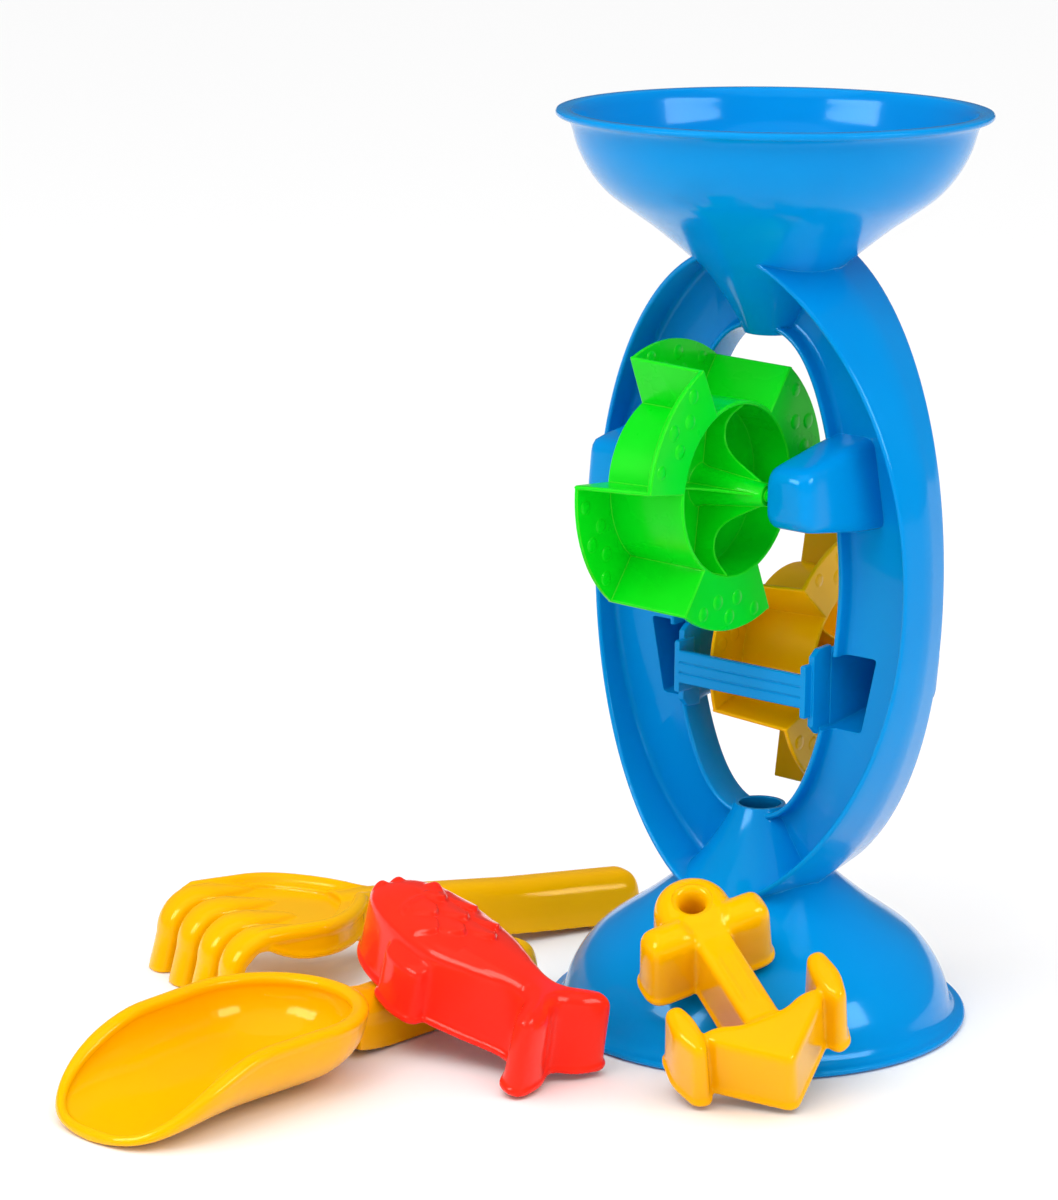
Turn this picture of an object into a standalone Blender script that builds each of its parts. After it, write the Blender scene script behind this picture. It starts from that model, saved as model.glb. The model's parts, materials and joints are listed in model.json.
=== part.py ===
"""Toy double sand and water mill with its two hand tools and two sand moulds.

The blue frame is turned over half a turn about the X axis: its upper and lower
halves are the same, with the front of one being the back of the other.
Metres, +Z up; the ring stands in an XZ plane and its front faces -Y.
Places are worked out from the mill's own axis, and the whole set is then moved
so that its middle stands over the origin.
"""
import bmesh
import bpy
import numpy as np
from math import cos, pi, radians, sin
from mathutils import Matrix, Vector

MM = 0.001
GAP = 0.3 * MM                # air left between two nodes of one moulding

# ---- frame ---------------------------------------------------------------
HEIGHT = 360 * MM             # rim to rim
MID = HEIGHT / 2
WALL = 2.2 * MM

RIM_RADIUS = 83.4 * MM        # outer edge of the rolled lip
LIP_HEIGHT = 3.4 * MM
BOWL_SEGMENTS = 48
LIP_EDGE = 1.2 * MM           # bevel round the lip
SPOUT_WALL = 1.6 * MM
# outer radius of the bowl against the depth below its rim, in mm
BOWL_PROFILE = [(0.0, 79.6), (8, 77.0), (14, 75.2), (20, 72.4), (26, 68.4), (32, 62.8),
                (38, 55.0), (44, 46.6), (50, 38.9), (56, 31.4), (63, 24.0), (72, 17.8), (85.6, 10.0)]

RING_HALF_WIDTH = 77.3 * MM   # outer outline, a superellipse about mid height
RING_HALF_HEIGHT = 134.2 * MM
RING_POWERS = (2.06, 1.71)
WINDOW_HALF_WIDTH = 40.4 * MM
WINDOW_HALF_HEIGHT = 96.9 * MM
WINDOW_POWERS = (1.59, 2.7)
OUTER_FLANGE = (12.9 * MM, 32.0 * MM)   # half depth at mid height, growth towards the bowls
INNER_FLANGE = 8.0 * MM
FLANGE_DRAFT = 0.13
RING_STATIONS = 22
RING_END = 83.0               # turn at which a side of the ring ends, inside the bowl's skin

# ---- bearings and bridges ------------------------------------------------
AXLE_FORWARD = 42.5 * MM      # wheel axle in front of (or behind) the ring plane
AXLE_OFFSET = 41.0 * MM       # wheel axle above (or below) mid height
BRACKET_TIP = 4.5 * MM        # bracket past the axle
BRACKET_INNER_ROOT = 30.3 * MM
BRACKET_INNER_TIP = 33.5 * MM
BRACKET_WALL = 2.0 * MM
# bracket sections in mm: outer x low and high, depth below the axle, height above it
BRACKET_ROOT = (57.0, 50.5, 16.5, 18.5)
BRACKET_SHOULDER = (55.0, 49.5, 15.5, 15.5)
BRACKET_AXLE = (51.2, 49.0, 11.2, 11.2)
BRACKET_END = (46.5, 45.0, 8.0, 8.0)
SHOULDER_FORWARD = 14.0 * MM  # the shoulder in front of the ring plane
HOLLOW_END = 38.5 * MM        # where the hollow in a bracket ends
AXLE_HOLE_RADIUS = 2.9 * MM
AXLE_HOLE = (20.0 * MM, 36.4 * MM)      # the cutter's ends along the axle
BRIDGE_DEPTH = 15.7 * MM      # front face of the bridge from the ring plane
BRIDGE_HALF_HEIGHT = 6.6 * MM
BRIDGE_HEIGHT = 41.0 * MM     # bridge centre above (or below) mid height
BRIDGE_HALF_WIDTH = 32.0 * MM
BRIDGE_POST = 2.8 * MM

# ---- paddle wheels -------------------------------------------------------
WHEEL_RADIUS = 53.8 * MM
WHEEL_HALF_WIDTH = 18.0 * MM
DRUM_RADIUS = 34.2 * MM
VANE_WALL = 1.6 * MM
DRUM_WALL = 1.7 * MM
SECTORS = 6
HUB_ROOT_RADIUS = 7.5 * MM
HUB_TIP_RADIUS = 4.2 * MM
HUB_TIP = 31.8 * MM
PIN_RADIUS = 2.3 * MM
PIN_TIP = 36.0 * MM
RIBS = 4
RIB_PHASE = 28.5              # first rib from the first vane, in degrees
RIB_FOOT = 2.0 * MM           # inner end of a rib, inside the hub
RIB_CREST = [(16, 32.2), (8, 20), (10, 12), (28, 4), (28, 2)]   # height and radius in mm
GREEN_PHASE = 54.0            # angle of the first vane, degrees from +Y towards +Z
YELLOW_PHASE = 20.0

# ---- hand tools ----------------------------------------------------------
GRIP_WALL = 2.2 * MM
GRIP_END_WALL = 2.5           # skin left at both ends of a grip's hollow, in mm
# grip stations in mm: x, width, base, top
RAKE_GRIP = [(0, 12, 2, 18), (1.5, 18, 0.6, 21), (5, 22, 0, 22), (60, 22.5, 4, 25),
             (110, 23, 9, 30), (136.7, 24, 12, 31)]
SHOVEL_GRIP = [(0, 12, 2, 18), (1.5, 18, 0.6, 21), (5, 22, 0, 22), (60, 22.5, 0, 22),
               (95, 23, 0.6, 22), (107.7, 24, 2, 21)]
RAKE_HEAD_BACK = 137.0 * MM   # where the tray starts, from the grip end
RAKE_HEAD_FRONT = 190.0 * MM
RAKE_HALF_WIDTH = 39.5 * MM
RAKE_RIM_HEIGHT = 33.0 * MM
RAKE_BASE_HEIGHT = 18.5 * MM
RAKE_RECESS = 4.0 * MM
RAKE_FLOOR_WALL = 3.0 * MM
TINE_REACH = 24.0 * MM
TINES = 4
TINE_PITCH = 20.5 * MM
TINE_WIDTH = 16.0 * MM
TINE_ROOT = 8.0 * MM          # thickness where it leaves the tray
TINE_END = 5.0 * MM
TINE_TAPER = 0.12             # share of its width that a tine loses on the way down
TRAY_NECK = 12.0 * MM         # half width of the tray at the grip
TRAY_FLARE = (0.55, 0.6)      # share of the length that the flare takes, and its power
TOOL_CLEAR = 2.0 * MM         # how far a cutter passes the face it opens
RAKE_PLACE = ((-111, 60), 249.0)          # grip end on the floor in mm, heading in degrees

SCOOP_START = 108.0 * MM
SCOOP_END = 237.0 * MM
SCOOP_HALF_WIDTH = 39.5 * MM
SCOOP_HEIGHT = 28.5 * MM
SCOOP_WALL = 2.2 * MM
SCOOP_SIDE = 0.38             # share of the rim that one side takes, with its half of the lip
SCOOP_STRAIGHT = 0.28         # share of that side before the round lip starts
SCOOP_BEND = 190.0 * MM       # where the round lip starts
SCOOP_POWER = 0.73            # how square the lip is
SCOOP_TAPER = 0.05            # how much narrower the lip is
SCOOP_FALL = 178.0 * MM       # where the rim starts to come down
SCOOP_LIP_HEIGHT = 2.6 * MM
LIP_SHARE = 0.02              # the two ends of the rim stop this short of the middle of the lip
LEAST = 0.3 * MM
SHOVEL_PLACE = ((-87, -40), 267.8)

# ---- sand moulds ---------------------------------------------------------
FISH_HEIGHT = 33.0 * MM
MOULD_WALL = 2.0 * MM
ANCHOR_HEIGHT = 30.0 * MM
ANCHOR_EYE = -87.0 * MM
ANCHOR_HOLE = 4.5 * MM
HOLE_WALL = 1.8 * MM
# inset and height below the top of a mould block's loops, in mm, and of the hollow's
MOULD_LOOPS = ((1.5, 4.0), (2.3, 1.2), (3.6, 0.0))
HOLLOW_LOOPS = ((3.5, 5.0), (4.6, 2.0))
# right half of the fish from the nose to the tail's notch, in mm
FISH_HALF = [(-105, -6), (-103, -13), (-92, -20), (-74, -24), (-50, -23.5), (-32, -17.5),
             (-17, -11.5), (-8, -14), (-1, -21.5), (9, -21), (9, -10), (1.5, 0)]
ANCHOR_EYE_RADIUS = 16.8
ANCHOR_STOCK = [(-66.5, -24), (-66.5, 24), (-70, 27.5), (-82, 27.5), (-85.5, 24), (-85.5, -24),
                (-82, -27.5), (-70, -27.5)]
ANCHOR_SHANK = [(-16, -9), (-16, 9), (-76, 9), (-76, -9)]
ANCHOR_CROWN = [(0.5, 0), (-25.5, 28), (-36, 28), (-32, 16), (-28.5, 8.5), (-28.5, -8.5),
                (-32, -16), (-36, -28), (-25.5, -28)]
ANCHOR_FLUKE = [(-16, 25), (-18, 33.5), (-31, 36.5), (-45.5, 34.5), (-46, 25), (-36, 22), (-24, 22)]
# place in mm, then heading, pitch and roll in degrees
FISH_PLACE = ((-9.8, -120.0, 4.2), (-9.4, 15.0, 2.2))
ANCHOR_PLACE = ((83.5, -86.5, 1.0), (-22.0, 28.0, 17.5))

SET_CENTRE = (-65.86 * MM, -90.35 * MM)     # middle of the whole set, from the mill's axis


def clear_scene():
    for thing in list(bpy.data.objects):
        bpy.data.objects.remove(thing, do_unlink=True)


def plastic(name, colour):
    material = bpy.data.materials.new(name)
    material.use_nodes = True
    shader = material.node_tree.nodes["Principled BSDF"]
    shader.inputs["Base Color"].default_value = (*colour, 1)
    shader.inputs["Roughness"].default_value = 0.25
    shader.inputs["Metallic"].default_value = 0.0
    return material


def solid(name, points, faces, material, parent=None, smooth=True):
    mesh = bpy.data.meshes.new(name)
    mesh.from_pydata([tuple(p) for p in points], [], faces)
    work = bmesh.new()
    work.from_mesh(mesh)
    bmesh.ops.recalc_face_normals(work, faces=work.faces)
    work.to_mesh(mesh)
    work.free()
    mesh.materials.append(material)
    thing = bpy.data.objects.new(name, mesh)
    bpy.context.collection.objects.link(thing)
    if smooth:
        mesh.shade_smooth()
        mesh.set_sharp_from_angle(angle=radians(35))
    thing.parent = parent
    return thing


def loft(name, loops, material, parent=None, closed=False):
    """Skin a run of loops with equal point counts; capped unless it closes on itself."""
    count = len(loops[0])
    points = [p for loop in loops for p in loop]
    faces = []
    spans = len(loops) if closed else len(loops) - 1
    for i in range(spans):
        a, b = i * count, (i + 1) % len(loops) * count
        for j in range(count):
            k = (j + 1) % count
            faces.append((a + j, a + k, b + k, b + j))
    if not closed:
        faces.append(tuple(range(count)))
        faces.append(tuple(range(len(points) - count, len(points))))
    return solid(name, points, faces, material, parent)


def lathe(name, profile, segments, material, parent=None, axis="Z", place=None):
    """Turn a closed (radius, height) profile that stays off the axis, or starts and ends on it."""
    on_axis = profile[0][0] == 0
    inner = profile[1:-1] if on_axis else profile
    points, faces = [], []
    for i in range(segments):
        turn = 2 * pi * i / segments
        points += [(r * cos(turn), r * sin(turn), h) for r, h in inner]
    count = len(inner)
    rows = count - 1 if on_axis else count
    for i in range(segments):
        a, b = i * count, (i + 1) % segments * count
        faces += [(a + j, a + (j + 1) % count, b + (j + 1) % count, b + j) for j in range(rows)]
    if on_axis:
        faces.append(tuple(i * count for i in range(segments)))
        faces.append(tuple(i * count + count - 1 for i in range(segments)))
    if axis == "X":
        points = [(z, x, y) for x, y, z in points]
    if place:
        points = [place(p) for p in points]
    return solid(name, points, faces, material, parent)


def cut(target, cutter, operation="DIFFERENCE"):
    """Boolean by a cutter that is hidden afterwards."""
    modifier = target.modifiers.new("cut", "BOOLEAN")
    modifier.operation = operation
    modifier.object = cutter
    modifier.solver = "EXACT"
    cutter.hide_render = True
    cutter.display_type = "WIRE"


def half_turn(point):
    """Half a turn of the frame about the X axis through its middle."""
    x, y, z = point
    return (x, -y, HEIGHT - z)


def placed(point, side, lower):
    """Mirror a point of the upper right quarter to any other quarter."""
    x, y, z = point
    point = (side * x, y, z)
    return half_turn(point) if lower else point


# ---- bowls ---------------------------------------------------------------
def bowl_outline(grow=0.0):
    """Outer (radius, height) pairs of the upper bowl, from the lip to the spout end."""
    return [(r * MM + grow, HEIGHT - d * MM) for d, r in BOWL_PROFILE]


def bowl(name, lower, material):
    outer = bowl_outline()
    inner = [(r - WALL, z) for r, z in outer]
    inner[-1] = (outer[-1][0] - SPOUT_WALL, inner[-1][1])
    lip = [(inner[0][0], HEIGHT), (RIM_RADIUS - LIP_EDGE, HEIGHT),
           (RIM_RADIUS, HEIGHT - LIP_EDGE), (RIM_RADIUS, HEIGHT - LIP_HEIGHT),
           (outer[0][0], HEIGHT - LIP_HEIGHT)]
    profile = lip + outer[1:] + inner[:0:-1]
    if lower:
        profile = [(r, HEIGHT - z) for r, z in profile]
    return lathe(name, profile, BOWL_SEGMENTS, material)


def bowl_space(grow, lower):
    """Solid plug of the bowl's outside, grown by a gap, to cut what meets the bowl."""
    shape = bowl_outline(grow)
    shape[0] = (RIM_RADIUS + grow, HEIGHT + grow)
    shape[-1] = (shape[-1][0], shape[-1][1] - grow)
    profile = [(0, shape[0][1])] + shape + [(0, shape[-1][1])]
    if lower:
        profile = [(r, HEIGHT - z) for r, z in profile]
    return lathe("plug", profile, BOWL_SEGMENTS, None)


# ---- ring ----------------------------------------------------------------
def superellipse(turn, half_width, half_height, powers):
    """Point (x, z about mid height) of an upright outline for a turn of -90 to +90 degrees."""
    rise = sin(turn)
    return half_width * max(1 - abs(rise) ** powers[0], 0) ** (1 / powers[1]), half_height * rise


def outward(turn, shape):
    """Unit normal of a superellipse, pointing away from its middle."""
    step = 0.01
    way = np.subtract(superellipse(turn + step, *shape), superellipse(turn - step, *shape))
    return np.array((way[1], -way[0])) / np.hypot(*way)


def ring_section(turn):
    """H section of the right side of the ring: two flanges and the web between them."""
    outer_shape = (RING_HALF_WIDTH, RING_HALF_HEIGHT, RING_POWERS)
    window_shape = (WINDOW_HALF_WIDTH, WINDOW_HALF_HEIGHT, WINDOW_POWERS)
    edge = np.array(superellipse(turn, *outer_shape))
    hole = np.array(superellipse(turn, *window_shape))
    out, way = outward(turn, outer_shape), outward(turn, window_shape)
    deep = OUTER_FLANGE[0] + OUTER_FLANGE[1] * (edge[1] / MID) ** 2
    web = WALL / 2
    lean = FLANGE_DRAFT * deep

    def at(base, offset, y):
        x, z = base + offset
        return (x, y, MID + z)

    return [at(edge, -lean * out, -deep), at(edge, 0 * out, 0), at(edge, -lean * out, deep),
            at(edge, -(lean + WALL) * out, deep), at(edge, -WALL * out, web),
            at(hole, WALL * way, web), at(hole, WALL * way, INNER_FLANGE),
            at(hole, 0 * way, INNER_FLANGE), at(hole, 0 * way, -INNER_FLANGE),
            at(hole, WALL * way, -INNER_FLANGE), at(hole, WALL * way, -web),
            at(edge, -WALL * out, -web), at(edge, -(lean + WALL) * out, -deep)]


def ring_side(name, side, lower, material):
    """One quarter of the ring, from mid height to the bowl."""
    turns = [radians(RING_END) * i / RING_STATIONS for i in range(RING_STATIONS + 1)]
    loops = [ring_section(turn) for turn in turns]
    loops[0] = [(x, y, z + GAP / 2) for x, y, z in loops[0]]
    loops = [[placed(p, side, lower) for p in loop] for loop in loops]
    quarter = loft(name, loops, material)
    cut(quarter, bowl_space(GAP, lower))
    cut(quarter, bracket_solid("clear", side, lower, None, GAP))
    cut(quarter, bracket_solid("clear", side, not lower, None, GAP))
    return quarter


# ---- bearing brackets ----------------------------------------------------
def bracket_loops(grow=0.0):
    """Sections of the upper right bracket from the back of the web forward to its tip.

    A negative growth gives the hollow inside, which is open at the back.
    """
    axle_z = MID + AXLE_OFFSET
    tip = AXLE_FORWARD + BRACKET_TIP
    hollow = grow < 0

    def loop(y, section):
        out_low, out_high, low, high = (v * MM for v in section)
        share = (y + BRIDGE_DEPTH) / (BRIDGE_DEPTH + tip)
        near = BRACKET_INNER_ROOT + (BRACKET_INNER_TIP - BRACKET_INNER_ROOT) * share - grow
        low, high = axle_z - low - grow, axle_z + high + grow
        return [(near, -y, low), (out_low + grow, -y, low),
                (out_high + grow, -y, high), (near, -y, high)]

    back = -WALL / 2 - (BRACKET_WALL if hollow else grow)
    loops = [loop(back, BRACKET_ROOT), loop(SHOULDER_FORWARD + grow / 2, BRACKET_SHOULDER)]
    if hollow:
        loops.append(loop(HOLLOW_END, BRACKET_AXLE))
    else:
        loops += [loop(AXLE_FORWARD, BRACKET_AXLE), loop(tip + grow, BRACKET_END)]
    return loops


def bracket_solid(name, side, lower, material, grow=0.0):
    loops = [[placed(p, side, lower) for p in loop] for loop in bracket_loops(grow)]
    return loft(name, loops, material)


def axle_rod(side, lower):
    """Cutter for the axle hole in a bracket's inner wall."""
    start, end = AXLE_HOLE
    profile = [(0, start), (AXLE_HOLE_RADIUS, start), (AXLE_HOLE_RADIUS, end), (0, end)]

    def place(point):
        x, y, z = point
        return placed((x, y - AXLE_FORWARD, z + MID + AXLE_OFFSET), side, lower)

    return lathe("rod", profile, 20, None, axis="X", place=place)


def bracket(name, side, lower, material):
    shell = bracket_solid(name, side, lower, material)
    cut(shell, bracket_solid("hollow", side, lower, None, -BRACKET_WALL))
    cut(shell, axle_rod(side, lower))
    return shell


def bridge(name, lower, material):
    """Bridge between the bracket roots, on the far side of the ring from the wheel."""
    centre = MID + BRIDGE_HEIGHT
    x_out = BRIDGE_HALF_WIDTH
    x_in = x_out - BRIDGE_POST
    start, end = WALL / 2 + GAP, BRIDGE_DEPTH
    outline = [(-x_out, start), (-x_in, start), (-x_in, end - WALL), (x_in, end - WALL),
               (x_in, start), (x_out, start), (x_out, end), (-x_out, end)]
    bar = [[placed((x, y, centre + s * BRIDGE_HALF_HEIGHT), 1, lower) for x, y in outline]
           for s in (-1, 1)]
    return loft(name, bar, material)


# ---- wheels --------------------------------------------------------------
def around(radius, degrees, x):
    """Point of a wheel in its own frame, with the axle along X."""
    turn = radians(degrees)
    return (x, radius * cos(turn), radius * sin(turn))


def vane(name, degrees, near, material, parent):
    """One radial wall with the side plate of the bucket that follows it."""
    root = DRUM_RADIUS + GAP
    half = WHEEL_HALF_WIDTH
    step = 360 / SECTORS
    lag = np.degrees(VANE_WALL / 2 / WHEEL_RADIUS)
    lag_root = np.degrees(VANE_WALL / 2 / root)
    wall = [[around(root, degrees - lag_root, x), around(WHEEL_RADIUS, degrees - lag, x),
             around(WHEEL_RADIUS, degrees + lag, x), around(root, degrees + lag_root, x)]
            for x in (-half, half)]
    thing = loft(name, wall, material, parent)
    inner, outer = [], []
    gap = np.degrees(GAP / root)
    first, last = degrees, degrees + step - lag - gap
    count = 8
    for i in range(count + 1):
        turn = first + (last - first) * i / count
        inner.append((root, min(turn, degrees + step - lag_root - gap)))
        outer.append((WHEEL_RADIUS, turn))
    ends = (half - VANE_WALL, half) if near else (-half, VANE_WALL - half)
    plate = [[around(r, a, x) for r, a in inner + outer[::-1]] for x in ends]
    cut(thing, loft("plate", plate, None, parent), "UNION")
    return thing


def drum(name, material, parent):
    half = WHEEL_HALF_WIDTH
    web = DRUM_WALL / 2
    bore = DRUM_RADIUS - DRUM_WALL
    profile = [(0, web), (bore, web), (bore, half), (DRUM_RADIUS, half),
               (DRUM_RADIUS, -half), (bore, -half), (bore, -web), (0, -web)]
    return lathe(name, profile, 36, material, parent, axis="X")


def hub(name, end, phase, material, parent):
    """Conical hub with its bearing pin and four ribs, on one side of the drum's web."""
    start = DRUM_WALL / 2 + GAP
    profile = [(0, start), (HUB_ROOT_RADIUS, start), (HUB_TIP_RADIUS, HUB_TIP),
               (PIN_RADIUS, HUB_TIP), (PIN_RADIUS, PIN_TIP), (0, PIN_TIP)]
    thing = lathe(name, [(r, end * x) for r, x in profile], 20, material, parent, axis="X")
    bore = DRUM_RADIUS - DRUM_WALL - GAP
    outline = [(RIB_FOOT, start), (bore, start)] + [(r * MM, x * MM) for x, r in RIB_CREST]
    for i in range(RIBS):
        turn = radians(phase + RIB_PHASE + 360 / RIBS * i)
        side = Vector((0, -sin(turn), cos(turn))) * VANE_WALL / 2
        out = Vector((0, cos(turn), sin(turn)))
        loops = [[out * r + Vector((end * x, 0, 0)) + side * s for r, x in outline]
                 for s in (-1, 1)]
        cut(thing, loft("rib", loops, None, parent), "UNION")
    return thing


def wheel(colour, phase, lower, material):
    axle = bpy.data.objects.new(colour + "_wheel_axle", None)
    bpy.context.collection.objects.link(axle)
    axle.location = placed((0, -AXLE_FORWARD, MID + AXLE_OFFSET), 1, lower)
    drum(colour + "_wheel_drum", material, axle)
    hub(colour + "_wheel_hub_right", 1, phase, material, axle)
    hub(colour + "_wheel_hub_left", -1, phase, material, axle)
    for i in range(SECTORS):
        turn = phase + 360 / SECTORS * i
        vane(f"{colour}_wheel_vane_{i + 1}", turn, i % 2 == 1, material, axle)


# ---- hand tools ----------------------------------------------------------
def frame_empty(name, matrix):
    empty = bpy.data.objects.new(name, None)
    bpy.context.collection.objects.link(empty)
    empty.matrix_world = matrix
    return empty


def on_floor(place):
    (x, y), heading = place
    return Matrix.Translation((x * MM, y * MM, 0)) @ Matrix.Rotation(radians(heading), 4, "Z")


def lying(place):
    """Matrix of a mould from its place in mm and its heading, pitch and roll in degrees."""
    (x, y, z), (heading, pitch, roll) = place
    turns = Matrix.Rotation(radians(heading), 4, "Z") @ Matrix.Rotation(radians(pitch), 4, "Y")
    return (Matrix.Translation((x * MM, y * MM, z * MM)) @ turns
            @ Matrix.Rotation(radians(roll), 4, "X"))


def grip_section(x, width, base, top, wall=0.0):
    """Arch-shaped section of a grip across X, open downwards when it is used as a hollow."""
    half = width / 2 - wall
    top = top - wall
    spring = max(top - half, base + 0.5 * MM)
    points = [(x, -half, base), (x, half, base)]
    for i in range(9):
        turn = pi * i / 8
        points.append((x, half * cos(turn), spring + (top - spring) * sin(turn)))
    return points


def grip(name, stations, material, parent):
    """Hollow grip, open underneath, through (x, width, base, top) stations in mm."""
    outer = [grip_section(*[v * MM for v in s]) for s in stations]
    thing = loft(name, outer, material, parent)
    inner = []
    for i, (x, width, base, top) in enumerate(stations):
        last = len(stations) - 1
        shift = {0: GRIP_END_WALL, last: -GRIP_END_WALL}.get(i, 0)
        inner.append(grip_section((x + shift) * MM, width * MM, (base - 1) * MM, top * MM,
                                  GRIP_WALL))
    cut(thing, loft("hollow", inner, None, parent))
    return thing


def tray_outline(inset):
    """Outline of the rake's tray, narrow at the grip and straight at the front."""
    count = 9
    half = []
    for i in range(count):
        share = i / (count - 1)
        x = RAKE_HEAD_BACK + inset + (RAKE_HEAD_FRONT - RAKE_HEAD_BACK - 2 * inset) * share
        spread = min(1, share / TRAY_FLARE[0]) ** TRAY_FLARE[1]
        half.append((x, TRAY_NECK + (RAKE_HALF_WIDTH - TRAY_NECK) * spread - inset))
    return [(x, -y) for x, y in half] + half[::-1]


def slab(name, outline, low, high, material, parent):
    return loft(name, [[(x, y, z) for x, y in outline] for z in (low, high)], material, parent)


def rake(material):
    root = frame_empty("rake_frame", on_floor(RAKE_PLACE))
    base, rim = RAKE_BASE_HEIGHT, RAKE_RIM_HEIGHT
    floor = rim - RAKE_RECESS
    grip("rake_grip", RAKE_GRIP, material, root)
    tray = slab("rake_tray", tray_outline(0), base, rim, material, root)
    inner = tray_outline(GRIP_WALL)
    cut(tray, slab("recess", inner, floor, rim + TOOL_CLEAR, None, root))
    cut(tray, slab("under", inner, base - TOOL_CLEAR, floor - RAKE_FLOOR_WALL, None, root))
    for i in range(TINES):
        tine(f"rake_tine_{i + 1}", (i - (TINES - 1) / 2) * TINE_PITCH, floor, material, root)


def tine(name, y, top, material, parent):
    """Thick bar that bends a quarter turn from the tray down to the sand."""
    steps = 7
    loops = []
    for j in range(steps + 1):
        share = j / steps
        turn = pi / 2 * share
        x = RAKE_HEAD_FRONT + GAP + TINE_REACH * sin(turn)
        z = top * cos(turn)
        half = TINE_WIDTH / 2 * (1 - TINE_TAPER * share)
        thick = TINE_ROOT + (TINE_END - TINE_ROOT) * share
        back, under = x - thick * sin(turn), z - thick * cos(turn)
        loops.append([(x, y - half, z), (x, y + half, z),
                      (back, y + half, under), (back, y - half, under)])
    return loft(name, loops, material, parent)


def scoop_rim(share, inset):
    """Rim point and spine point for a share of the way round, from one front corner to the other."""
    half = SCOOP_HALF_WIDTH - inset
    end = SCOOP_END - inset
    start = SCOOP_START + SCOOP_HALF_WIDTH
    side = SCOOP_SIDE
    if side <= share <= 1 - side:
        turn = pi * (share - side) / (1 - 2 * side) - pi / 2
        return (start - half * cos(turn), half * sin(turn), SCOOP_HEIGHT), start
    sign = -1 if share < side else 1
    along = 1 - share / side if share < side else (share - 1 + side) / side
    turn = pi / 2 * max(0, (along - SCOOP_STRAIGHT) / (1 - SCOOP_STRAIGHT))
    if turn > 0:
        x = SCOOP_BEND + (end - SCOOP_BEND) * sin(turn) ** SCOOP_POWER
    else:
        x = start + (SCOOP_BEND - start) * along / SCOOP_STRAIGHT
    half *= 1 - SCOOP_TAPER * min(1, along / SCOOP_STRAIGHT)
    fall = max(0, (x - SCOOP_FALL) / (SCOOP_END - SCOOP_FALL))
    height = SCOOP_HEIGHT - (SCOOP_HEIGHT - SCOOP_LIP_HEIGHT) * fall * fall * (3 - 2 * fall)
    across = max(cos(turn), LIP_SHARE)
    return (x, sign * half * across ** SCOOP_POWER, height), x


def scoop_point(share, depth, inset):
    (x, y, height), spine = scoop_rim(share, inset)
    turn = depth * pi / 2
    out = cos(turn) ** 0.9 if depth < 1 else 0.0
    height = max(height, inset + LEAST)
    return (spine + (x - spine) * out, y * out, inset + (height - inset) * (1 - sin(turn) ** 0.9))


def shovel(material):
    root = frame_empty("shovel_frame", on_floor(SHOVEL_PLACE))
    grip("shovel_grip", SHOVEL_GRIP, material, root)
    around_count, down_count = 36, 7
    rows = []
    for inset in (0.0, SCOOP_WALL):
        rows.append([[scoop_point(i / around_count, j / down_count, inset)
                      for j in range(down_count + 1)] for i in range(around_count + 1)])
    points, index, faces = [], {}, []

    def vertex(p):
        key = tuple(round(c * 1e6) for c in p)
        if key not in index:
            index[key] = len(points)
            points.append(p)
        return index[key]

    def face(*corners):
        ids = []
        for corner in corners:
            i = vertex(corner)
            if i not in ids:
                ids.append(i)
        if len(ids) > 2:
            faces.append(ids)

    for skin in rows:
        for i in range(around_count):
            for j in range(down_count):
                face(skin[i][j], skin[i + 1][j], skin[i + 1][j + 1], skin[i][j + 1])
    for i in range(around_count):
        face(rows[0][i][0], rows[0][i + 1][0], rows[1][i + 1][0], rows[1][i][0])
    for i in (0, around_count):
        for j in range(down_count):
            face(rows[0][i][j], rows[0][i][j + 1], rows[1][i][j + 1], rows[1][i][j])
    solid("shovel_scoop", points, faces, material, root)


# ---- sand moulds ---------------------------------------------------------
def inset_outline(points, distance):
    """Move every point of a counterclockwise outline inwards along its own normal."""
    ring = np.array(points, float)
    ahead = np.roll(ring, -1, axis=0) - ring
    behind = ring - np.roll(ring, 1, axis=0)
    ahead /= np.linalg.norm(ahead, axis=1)[:, None]
    behind /= np.linalg.norm(behind, axis=1)[:, None]
    normal = np.stack([-(ahead + behind)[:, 1], (ahead + behind)[:, 0]], 1)
    normal /= np.linalg.norm(normal, axis=1)[:, None]
    half = np.clip((normal * np.stack([-ahead[:, 1], ahead[:, 0]], 1)).sum(1), 0.75, 1)
    return ring + normal * (distance / half)[:, None]


def mould_block(name, outline, height, material, parent):
    """Solid block of a mould, with sloping walls and a rounded top edge."""
    steps = [(0, 0)] + [(inset * MM, height - drop * MM) for inset, drop in MOULD_LOOPS]
    return loft(name, [[(x, y, z) for x, y in inset_outline(outline, inset)]
                       for inset, z in steps], material, parent)


def hollow_block(outline, height, parent):
    """Space inside a mould block, open at the base."""
    steps = [(MOULD_WALL, -TOOL_CLEAR)]
    steps += [(inset * MM, height - drop * MM) for inset, drop in HOLLOW_LOOPS]
    return loft("hollow", [[(x, y, z) for x, y in inset_outline(outline, inset)]
                           for inset, z in steps], None, parent)


def smooth_outline(points, count):
    """Closed curve through the points, by Catmull-Rom, scaled from mm."""
    ring = np.array(points, float) * MM
    result = []
    for i in range(len(ring)):
        a, b, c, d = (ring[(i + k) % len(ring)] for k in (-1, 0, 1, 2))
        for j in range(count):
            t = j / count
            result.append(0.5 * ((2 * b) + (c - a) * t + (2 * a - 5 * b + 4 * c - d) * t * t
                                 + (3 * b - a - 3 * c + d) * t ** 3))
    return result


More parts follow.
